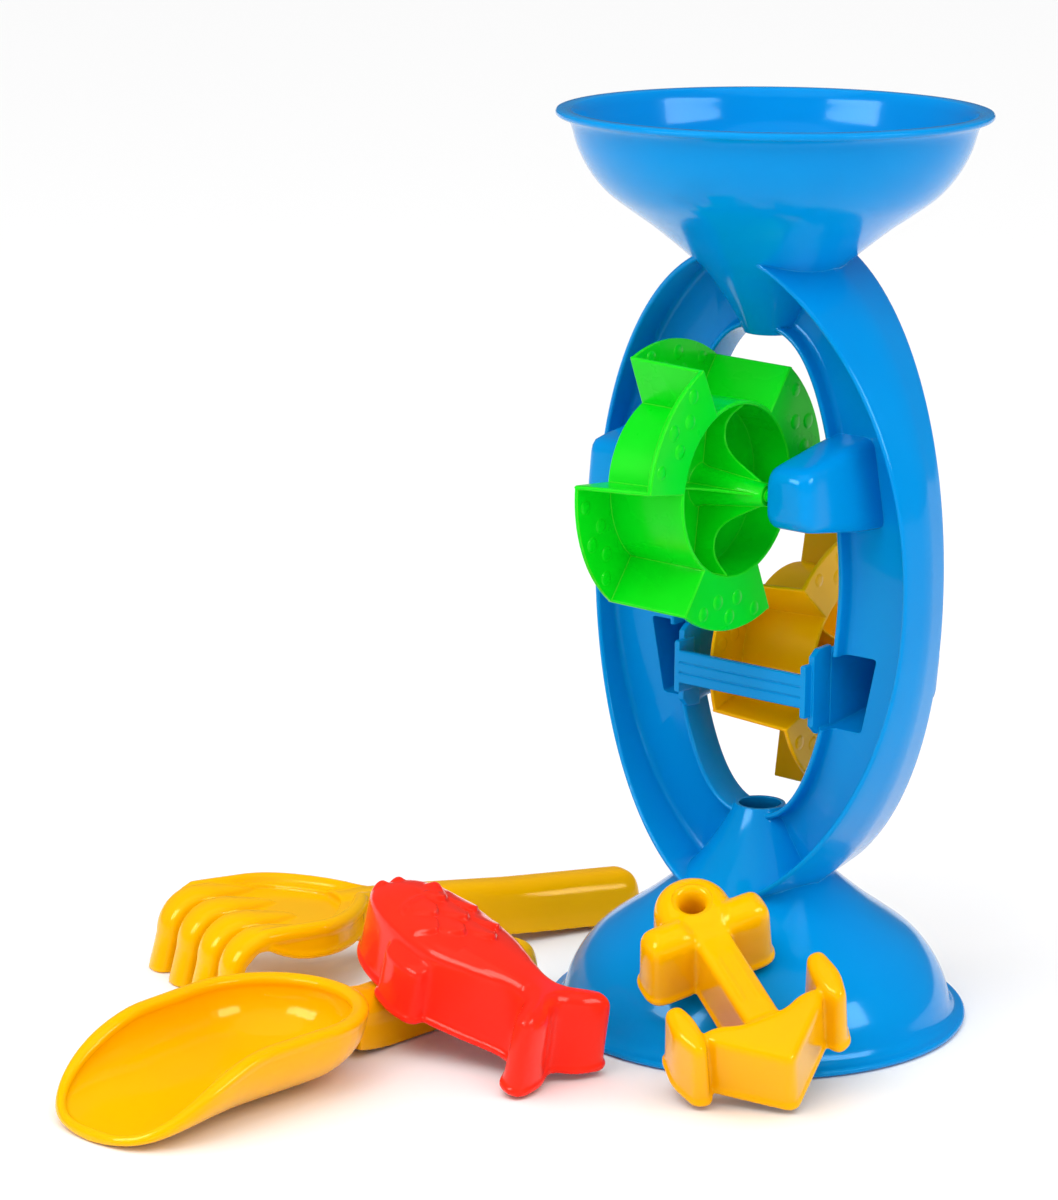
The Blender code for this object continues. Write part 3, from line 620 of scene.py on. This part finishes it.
def wheel(name, phase, slot, joint):
    bore, web = DRUM_RADIUS - 1.7, 0.85
    side = [(DRUM_RADIUS - 0.5, HALF_WIDTH), (DRUM_RADIUS, HALF_WIDTH - 0.5)]
    near = [(bore - 2.0, web), (bore - 0.6, web + 0.6), (bore, web + 2.0),
            (bore + 0.2, HALF_WIDTH - 0.4), (bore + 0.6, HALF_WIDTH)]
    profile = [(0, web)] + near + side + [(r, -x) for r, x in side[::-1]]
    profile += [(r, -x) for r, x in near[::-1]] + [(0, -web)]
    drum = lathe(profile, 96, "X")
    parts = hub(1, phase + HUB_LAG) + hub(-1, phase + HUB_LAG)
    for index in range(SECTORS):
        parts.append(wall(index, phase))
        parts += plate(index, phase)
    combine(drum, join(parts), overlapping=True)
    x, y, z = (1000 * v for v in JOINTS[joint]["pos_m"])
    place = Matrix.Translation((x - 1000 * MILL.x, y - 1000 * MILL.y, z))
    settle(drum, name, name, slot, place)


# ---- hand tools ----------------------------------------------------------
def on_floor(place):
    (x, y), heading = place
    return Matrix.Translation((x, y, 0)) @ Matrix.Rotation(radians(heading), 4, "Z")


def grip_section(x, width, base, top, wall=0.0):
    half, top = width / 2 - wall, top - wall
    points = []
    for i in range(25):
        turn = pi * i / 24
        across = abs(cos(turn)) ** 0.72 * (1 if cos(turn) > 0 else -1)
        points.append((x, half * across, base + (top - base) * sin(turn) ** 0.55))
    return points


def grip(stations):
    """Hollow grip, open underneath; stations are x, width, base and top."""
    keys = np.array(stations, float)
    places = list(np.linspace(keys[0, 0] + 9, keys[-1, 0], 24))
    loops, inner = [], []
    for i in range(9):
        turn = pi / 2 * i / 9
        width, base, top = (np.interp(keys[0, 0] + 9, keys[:, 0], keys[:, k]) for k in (1, 2, 3))
        swell = 0.25 + 0.75 * sin(turn) ** 0.8
        loops.append(grip_section(keys[0, 0] + 9 * (1 - cos(turn)), width * swell, base,
                                  base + (top - base) * (0.55 + 0.45 * sin(turn) ** 0.8)))
    for x in places:
        width, base, top = (np.interp(x, keys[:, 0], keys[:, k]) for k in (1, 2, 3))
        loops.append(grip_section(x, width, base, top))
    for x in places[1:-1]:
        width, base, top = (np.interp(x, keys[:, 0], keys[:, k]) for k in (1, 2, 3))
        inner.append(grip_section(x - 4, width, base - 1, top, WALL))
    return combine(loft(loops), loft(inner), "DIFFERENCE")


def tray_outline(inset, back, front, half, neck):
    side = []
    for i in range(17):
        share = i / 16
        spread = min(1, share / 0.6)
        side.append((back + inset + (front - back - inset) * share,
                     neck + (half - neck) * sin(spread * pi / 2) ** 0.85 - inset))
    return side


def slab(outline, low, high):
    return loft([[(x, y, z) for x, y in outline] for z in (low, high)])


def mirrored(side):
    return [(x, -y) for x, y in side] + side[::-1]


def tine(y, front, top):
    """Half-round tine: a ridge that rises out of the tray, bends and runs down to the sand."""
    loops = []
    for i in range(30):
        share = i / 29
        bend = max(0, (share - 0.34) / 0.66)
        turn = pi / 2 * min(1, bend * 1.25)
        fall = max(0, bend - 0.8) / 0.2
        grown = min(1, 0.05 + share / 0.3) ** 0.6
        x = front - 24 + 24 * min(1, share / 0.34) + 18.5 * sin(turn) + 4.0 * fall
        z = top - 18.5 * (1 - cos(turn)) - (top - 18.5) * fall
        half = 8.6 * grown - 1.6 * bend
        crown = 5.2 * grown
        dip = 3.2 + 2.2 * (1 - grown)
        out = Vector((sin(turn), 0, cos(turn)))
        middle = Vector((x, y, z)) - out * 5.2
        loop = []
        for j in range(13):
            a = pi * j / 12
            loop.append(middle + Vector((0, half * cos(a), 0)) + out * crown * sin(a) ** 0.8)
        for j in range(7):
            a = pi * (1 - j / 6)
            loop.append(middle - out * dip + Vector((0, (half - 1.2) * cos(a), 0))
                        + out * max(0, crown - 1.0) * sin(a) ** 0.8)
        loops.append([(p.x, p.y, max(p.z, 0.0)) for p in loop])
    return loft(loops)


def rake():
    back, front, half, neck = 135.0, 190.0, 39.5, 12.5
    rim, base = 33.0, 18.5
    side = tray_outline(0, back, front, half, neck)
    outer = mirrored([(x, y - 1.0) for x, y in side])
    body = slab(outer, base + 1, rim - 3.2)
    recess = tray_outline(7.5, back, front + 3, half, neck)
    combine(body, slab(mirrored([(x, max(y, 1.0)) for x, y in recess]), rim - 5.2, rim + 5),
            "DIFFERENCE")
    arch = [(170, -5), (170, base + 1)]
    arch += [(170 + 2 * i, base + 1 + 8.5 * (i / 12) ** 2) for i in range(1, 14)] + [(196, -5)]
    combine(body, loft([[(x, y, z) for x, z in arch] for y in (-60, 60)]), "DIFFERENCE")
    under = tray_outline(2.6, back, front + 6, half, neck)
    combine(body, slab(mirrored(under), base - 3, rim - 8), "DIFFERENCE")
    beads = []
    for sign in (-1, 1):
        path = [(back - 12, sign * (neck - 8.5), rim - 6.5),
                (back - 5, sign * (neck - 6.5), rim - 4.8)]
        path += [(x, sign * (y - 4.0), rim - 3.4) for x, y in side]
        path.append((front + 4, sign * (half - 5.0), rim - 5.0))
        beads.append(tube(path, [3.2 + 0.8 * i / len(path) for i in range(len(path))], sides=16))
        low_path = [(x, sign * (y - 1.6), base + 1.9 + 8.5 * max(0, (x - 170) / 24) ** 2)
                    for x, y in side]
        beads.append(tube(low_path, [1.6] * len(low_path)))
    handle = grip([(0, 22, 0, 22), (60, 22.5, 4, 25.5), (110, 23, 9, 30), (128, 24, 11, 31),
                   (143, 24, 14, 31.5)])
    tines = [tine((i - 1.5) * 20.3, front, rim) for i in range(4)]
    thing = melt([body, handle] + beads + tines, 0.62, 9)
    settle(thing, "rake_moulding", "rake", "yellow_plastic", on_floor(RAKE_PLACE), 60)


def scoop_rim(share, inset):
    """Rim point and the point of the spine it springs from, from one front corner to the other."""
    start, lip, full_half, high = SCOOP
    half, front, centre = full_half - inset, lip - inset, start + full_half
    edge = SCOOP_SIDE
    if edge <= share <= 1 - edge:
        turn = pi * (share - edge) / (1 - 2 * edge) - pi / 2
        return (centre - half * cos(turn), half * sin(turn), high), centre
    sign = -1 if share < edge else 1
    along = 1 - share / edge if share < edge else (share - 1 + edge) / edge
    turn = pi / 2 * max(0, (along - SCOOP_STRAIGHT) / (1 - SCOOP_STRAIGHT))
    x = centre + (SCOOP_BEND - centre) * along / SCOOP_STRAIGHT
    if turn > 0:
        x = SCOOP_BEND + (front - SCOOP_BEND) * sin(turn) ** SCOOP_POWER
    half *= 1 - SCOOP_TAPER * min(1, along / SCOOP_STRAIGHT)
    fall = min(1, max(0, x - SCOOP_FALL) / (lip - SCOOP_FALL))
    fall = 1 - (1 - fall ** 2) ** 1.4
    y = sign * half * max(cos(turn), 0) ** SCOOP_POWER
    return (x, y, high - (high - SCOOP_LIP_HEIGHT) * fall), x


def scoop_point(share, depth, inset):
    """Point of the scoop's skin: share along the rim, depth 0 at the rim and 1 at the spine."""
    (x, y, height), spine = scoop_rim(share, inset)
    turn = depth * pi / 2
    out = max(cos(turn), 0) ** 0.9
    px, py = spine + (x - spine) * out, y * out
    return (px, py, inset + max(height - inset, 0) * (1 - sin(turn) ** 0.9))


def shovel():
    """Scoop of an outer and an inner skin, with a bead round its rim, melted into the grip."""
    across, down = 96, 20
    shares = [min(1, max(0, (scoop_point(i / across, 0, 0)[2] - 2.0) / 20))
              for i in range(across + 1)]

    def inside(i, j):
        """Wall thickness, which swells into the bead where the rim is high."""
        return WALL + 0.4 + 3.6 * shares[i] * max(0, 1 - j / down / 0.55) ** 2

    skins = [[[scoop_point(i / across, j / down, skin * inside(i, j)) for j in range(down + 1)]
              for i in range(across + 1)] for skin in (0, 1)]
    points, faces = [p for skin in skins for row in skin for p in row], []

    def at(skin, i, j):
        return (skin * (across + 1) + i) * (down + 1) + j

    for i in range(across):
        for j in range(down):
            for skin in (0, 1):
                faces.append((at(skin, i, j), at(skin, i + 1, j), at(skin, i + 1, j + 1),
                              at(skin, i, j + 1)))
        faces.append((at(0, i, 0), at(0, i + 1, 0), at(1, i + 1, 0), at(1, i, 0)))
    for i in (0, across):
        for j in range(down):
            faces.append((at(0, i, j), at(0, i, j + 1), at(1, i, j + 1), at(1, i, j)))
    bowl_shell = mesh_object("scoop", points, faces)
    rim, radii = [], []
    for i, share in enumerate(shares[:-1]):
        x, y, z = scoop_point(i / across, 0, 2.0 + 1.0 * share)
        rim.append((x, y, max(z - 1.5 * share, 1.5)))
        radii.append(1.5 + 1.9 * share)
    bead = tube(rim, radii, closed=True, sides=16, flat=0.8)
    handle = grip([(0, 22, 0, 22), (60, 22.5, 0, 22), (92, 23, 0.6, 22.5), (102, 25, 2, 24),
                   (109.5, 27, 4, 25.5)])
    thing = melt([bowl_shell, bead, handle], 0.62, 12)
    settle(thing, "shovel_moulding", "shovel", "yellow_plastic", on_floor(SHOVEL_PLACE), 60)


# ---- sand moulds ---------------------------------------------------------
def lying(place):
    (x, y, z), (heading, pitch, roll) = place
    turns = Matrix.Rotation(radians(heading), 4, "Z") @ Matrix.Rotation(radians(pitch), 4, "Y")
    return Matrix.Translation((x, y, z)) @ turns @ Matrix.Rotation(radians(roll), 4, "X")


def inset_outline(points, distance):
    """Move a counterclockwise outline inwards along its own normals."""
    ring = np.array(points, float)
    ahead = np.roll(ring, -1, axis=0) - ring
    behind = ring - np.roll(ring, 1, axis=0)
    ahead /= np.linalg.norm(ahead, axis=1)[:, None]
    behind /= np.linalg.norm(behind, axis=1)[:, None]
    normal = np.stack([-(ahead + behind)[:, 1], (ahead + behind)[:, 0]], 1)
    normal /= np.linalg.norm(normal, axis=1)[:, None]
    half = np.clip((normal * np.stack([-ahead[:, 1], ahead[:, 0]], 1)).sum(1), 0.75, 1)
    return ring + normal * (distance / half)[:, None]


def block_loops(outline, height, edge):
    """Loops of a mould block: bead at the base, drafted wall and rounded top edge."""
    steps = [(0.3, 0.0), (0.0, 0.6), (0.0, 2.2), (1.0, 3.0)]
    steps += [(1.0 + 0.8 * t, 3.0 + (height - edge - 3.0) * t) for t in (0.33, 0.66, 1)]
    for i in range(1, 7):
        turn = pi / 2 * i / 6
        steps.append((1.8 + edge * (1 - cos(turn)), height - edge + edge * sin(turn)))
    return [[(x, y, z) for x, y in inset_outline(outline, inset)] for inset, z in steps]


def soften(thing, rounds):
    """Plain smoothing of everything above the base, which rounds the edges well."""
    smooth(thing, rounds, lambda step, start: np.clip((start[:, 2:3] - 2.6) / 5, 0, 1) * 0.6)


def mould(outlines, name, body, slot, place, shape, relief, hole=None, rounds=10):
    """Hollow sand mould from (outline, height, edge) blocks that run into each other."""
    spaces = []
    for outline, height, edge in outlines:
        steps = [(WALL, -2), (WALL + 1.0, height * 0.5), (WALL + 1.8, height - edge - 0.5),
                 (WALL + 1.8 + 0.6 * edge, height - WALL - 0.6)]
        spaces.append(loft([[(x, y, z) for x, y in inset_outline(outline, inset)]
                            for inset, z in steps]))
    thing = melt([loft(block_loops(outline, height, edge))
                  for outline, height, edge in outlines], 0.6, 3)
    soften(thing, rounds)
    space = melt(spaces, 1.0, 2)
    if hole:
        x, y, radius, top = hole
        for target, size, flare in ((space, radius + 1.8, 0), (thing, radius, 3.4)):
            post = [(0, -3), (size, -3), (size, top - 6)]
            post += [(size + flare * (1 - cos(pi * i / 12)), top - 6 + 6.5 * sin(pi * i / 12))
                     for i in range(1, 7)]
            post += [(size + flare, top + 6), (0, top + 6)]
            cutter = lathe(post, 40, "Z", lambda p: (p[0] + x, p[1] + y, p[2]))
            combine(target, cutter, "DIFFERENCE")
    for target in (thing, space):
        for vertex in target.data.vertices:
            vertex.co.z += shape(*vertex.co)
    relief(thing.data)
    combine(thing, space, "DIFFERENCE")
    settle(thing, name, body, slot, lying(place), 50)


def bulge(x, y, cx, cy, radius, height):
    reach = ((x - cx) ** 2 + (y - cy) ** 2) / radius ** 2
    return height * max(0, 1 - reach) ** 1.5


def scale(x, y, tip_x, tip_y):
    """Leaf that rises from its root and ends in a round tip, like a roof tile."""
    length, half, high = 15.0, 6.2, 2.6
    along = (x - tip_x + length) / length
    if not 0 < along <= 1:
        return 0.0
    wide = half * min(1, (1 - along) / 0.42) ** 0.5
    across = abs(y - tip_y)
    if across >= wide:
        return 0.0
    return high * along ** 1.3 * min(1, (wide - across) / 1.3) * (1 - 0.35 * (across / half) ** 2)


def fish_shape(x, y, z):
    """Crown of the fish's back, which falls away to its far side and its nose."""
    share = max(0, (z - 10) / 23)
    fall = 0.0104 * (y + 6) ** 2 + 6.5 * max(0, (-84 - x) / 20) ** 2
    return 0.8 * share - fall * share ** 2 * min(1, max(0.25, (-8 - x) / 20))


def fish_relief(mesh):
    """Scales, gill line, eye and lips, pressed up out of the fish's back."""
    tips = [(-43, 3), (-50, -7), (-51, 12), (-59, 2), (-66, -8), (-66, 13), (-74, 3), (-57, -14.5)]
    for vertex in mesh.vertices:
        x, y, z = vertex.co
        if z < 18:
            continue
        lift = bulge(x, y, -85, 7, 5.2, 1.8) + bulge(x, y, -84.5, 7, 3.0, 0.7)
        lift += bulge(x, y, -101, -8, 4.0, 2.4) + bulge(x, y, -100, 0, 3.6, 2.0)
        lift += max(scale(x, y, *tip) for tip in tips)
        gill = -80 + 0.02 * (y + 3) ** 2
        lift += 1.0 * max(0, 1 - abs(x - gill) / 2.2) * (1 if -17 < y < 3 else 0)
        ridge = max(0, 1 - abs(y + 12.5 - 0.20 * (x + 44)) / 2.6) if -44 < x < -12 else 0
        vertex.co.z = z + (lift + 0.7 * ridge) * min(1, (z - 18) / 5)


def fish():
    half = [(-105, -5), (-103.5, -12), (-93, -19.5), (-76, -23.5), (-52, -23.5), (-34, -18.0),
            (-18, -11.5), (-10, -11.0), (-5, -17), (0, -23), (7, -23.5), (10, -19), (8, -9), (3, 0)]
    other = [(x, -y if x > -90 else -0.8 * y) for x, y in half[-2::-1]]
    body = [tuple(p) for p in curve_through(half + other, 4, closed=True)]
    fin = rounded([(-76, -14), (-74, -28), (-60, -31), (-47.5, -29), (-47, -14)], 4.5)
    back_fin = rounded([(-50, 14), (-54, 26), (-66, 27.5), (-76, 24), (-78, 14)], 4.5)
    blocks = [(body, 33, 6.0), (fin, 24.5, 4.0), (back_fin, 22, 4.0)]
    mould(blocks, "fish_moulding", "fish", "red_plastic", FISH_PLACE, fish_shape, fish_relief,
          rounds=20)


def level(x, y, z):
    """Top that is left as its blocks are."""
    return 0.0


def anchor_relief(mesh):
    """Low ridges along the shank."""
    for vertex in mesh.vertices:
        x, y, z = vertex.co
        if z > 20 and -62 < x < -34:
            crest = max(0, 1 - abs(abs(y) - 3.0) / 1.5) if abs(y) < 5 else 0
            vertex.co.z = z + 0.7 * crest * min(1, (x + 62) / 3, (-34 - x) / 3)


def anchor():
    eye = [(-86.5 + 16.8 * cos(pi * i / 20), 16.8 * sin(pi * i / 20)) for i in range(40)]
    lobe = rounded([(-66.5, 3), (-66.5, 27.5), (-85.5, 27.5), (-85.5, 3)], 8.0, 6)
    waist = rounded([(-67.5, -10), (-67.5, 10), (-84, 10), (-84, -10)], 3.0, 3)
    shank = rounded([(-16, -9), (-16, 9), (-76, 9), (-76, -9)], 2.0, 2)
    crown = rounded([(0.5, 0), (-23.5, 26), (-32, 25.5), (-32, 16), (-28.5, 8.5), (-28.5, -8.5),
                     (-32, -16), (-32, -25.5), (-23.5, -26)], 5.0, 5)
    fluke = rounded([(-16.5, 26.5), (-18.5, 33), (-31, 36.5), (-45.5, 34.5), (-46, 25), (-36, 22),
                     (-24, 22.5)], 4.0, 4)
    blocks = [(eye, 30, 7.0), (lobe, 31.5, 7.5), (waist, 28, 6.0), (shank, 27, 2.4),
              (crown, 29, 3.0), (fluke, 32, 4.0)]
    blocks += [([(x, -y) for x, y in outline[::-1]], height, edge)
               for outline, height, edge in (blocks[1], blocks[5])]
    mould(blocks, "anchor_moulding", "anchor", "yellow_plastic", ANCHOR_PLACE, level, anchor_relief,
          hole=(-87.0, 0, 4.4, 29), rounds=14)


# ---- stage ---------------------------------------------------------------
def stage():
    """Pale floor, white world and soft boxes; camera() puts the camera at the photographer's place.
    """
    floor = mesh_object("floor", [(-30, -30, 0), (30, -30, 0), (30, 30, 0), (-30, 30, 0)],
                        [(0, 1, 2, 3)])
    floor.data.transform(Matrix.Translation((0, 0, -0.0004)))
    pale = bpy.data.materials.new("pale floor")
    pale.use_nodes = True
    shader = pale.node_tree.nodes["Principled BSDF"]
    shader.inputs["Base Color"].default_value = (0.93, 0.93, 0.93, 1)
    shader.inputs["Roughness"].default_value = 0.7
    shader.inputs["Specular IOR Level"].default_value = 0.2
    floor.data.materials.append(pale)
    world = bpy.data.worlds.new("studio")
    world.use_nodes = True
    nodes, links = world.node_tree.nodes, world.node_tree.links
    backdrop = nodes["Background"]
    backdrop.inputs["Color"].default_value = (1, 1, 1, 1)
    dim = nodes.new("ShaderNodeMapRange")
    dim.inputs["To Min"].default_value = 0.88
    dim.inputs["To Max"].default_value = 0.1
    links.new(nodes.new("ShaderNodeLightPath").outputs["Is Glossy Ray"], dim.inputs["Value"])
    links.new(dim.outputs["Result"], backdrop.inputs["Strength"])
    bpy.context.scene.world = world
    target = MILL + Vector((0, 0, 0.2))
    # name, kind, azimuth and elevation in degrees, distance, width and depth in metres, power;
    # the two glints are soft boxes that only the gloss sees
    lamps = [("key", "AREA", 8, 48, 1.5, 0.75, 0.6, 4.6),
             ("side", "AREA", 78, 44, 1.5, 0.75, 0.6, 3.0),
             ("left", "AREA", -45, 35, 1.7, 0.7, 0.9, 2.0),
             ("sky", "SUN", 30, 65, 2, 0, 0, 0.85),
             ("glint_left", "AREA", -15, 22, 1.5, 0.85, 0.55, 24),
             ("glint_right", "AREA", 91, 22, 1.5, 0.9, 0.55, 22)]
    for name, kind, azimuth, elevation, distance, width, depth, power in lamps:
        light = bpy.data.lights.new(name, kind)
        light.energy = power
        if kind == "AREA":
            light.shape = "RECTANGLE"
            light.size, light.size_y = width, depth
        else:
            light.angle = radians(70)
        lamp = bpy.data.objects.new(name, light)
        bpy.context.scene.collection.objects.link(lamp)
        lamp.visible_diffuse = not name.startswith("glint")
        lamp.visible_glossy = not lamp.visible_diffuse or kind == "SUN"
        a, e = radians(azimuth), radians(elevation)
        away = Vector((sin(a) * cos(e), -cos(a) * cos(e), sin(e)))
        lamp.location = target + away * distance
        lamp.rotation_euler = away.to_track_quat("Z", "Y").to_euler()


def camera():
    """Long lens, a metre and a half away, looking down a little from the right."""
    turn, yaw, pitch, roll = radians(36.4), radians(3.594), radians(13.489), radians(0.381)
    away, up_high, focal = 1.4702, 0.5194, 3853.5 / 1200 * 36
    place = MILL + Vector((away * sin(turn), -away * cos(turn), up_high))
    heading = turn + yaw
    ahead = Vector((-sin(heading) * cos(pitch), cos(heading) * cos(pitch), -sin(pitch)))
    right = Vector((cos(heading), sin(heading), 0))
    up = right.cross(ahead)
    right, up = right * cos(roll) + up * sin(roll), up * cos(roll) - right * sin(roll)
    data = bpy.data.cameras.new("camera")
    data.sensor_fit = "VERTICAL"
    data.sensor_height, data.lens, data.clip_end = 36, focal, 100
    thing = bpy.data.objects.new("camera", data)
    bpy.context.scene.collection.objects.link(thing)
    turned = Matrix((right, up, -ahead)).transposed().to_4x4()
    thing.matrix_world = Matrix.Translation(place) @ turned
    bpy.context.scene.camera = thing


mill()
wheel("green_wheel", 54.0, "green_plastic", "green_wheel_spin")
wheel("yellow_wheel", 20.0, "yellow_plastic", "yellow_wheel_spin")
rake()
shovel()
fish()
anchor()
stage()
camera()
bpy.context.scene.view_settings.view_transform = "Standard"
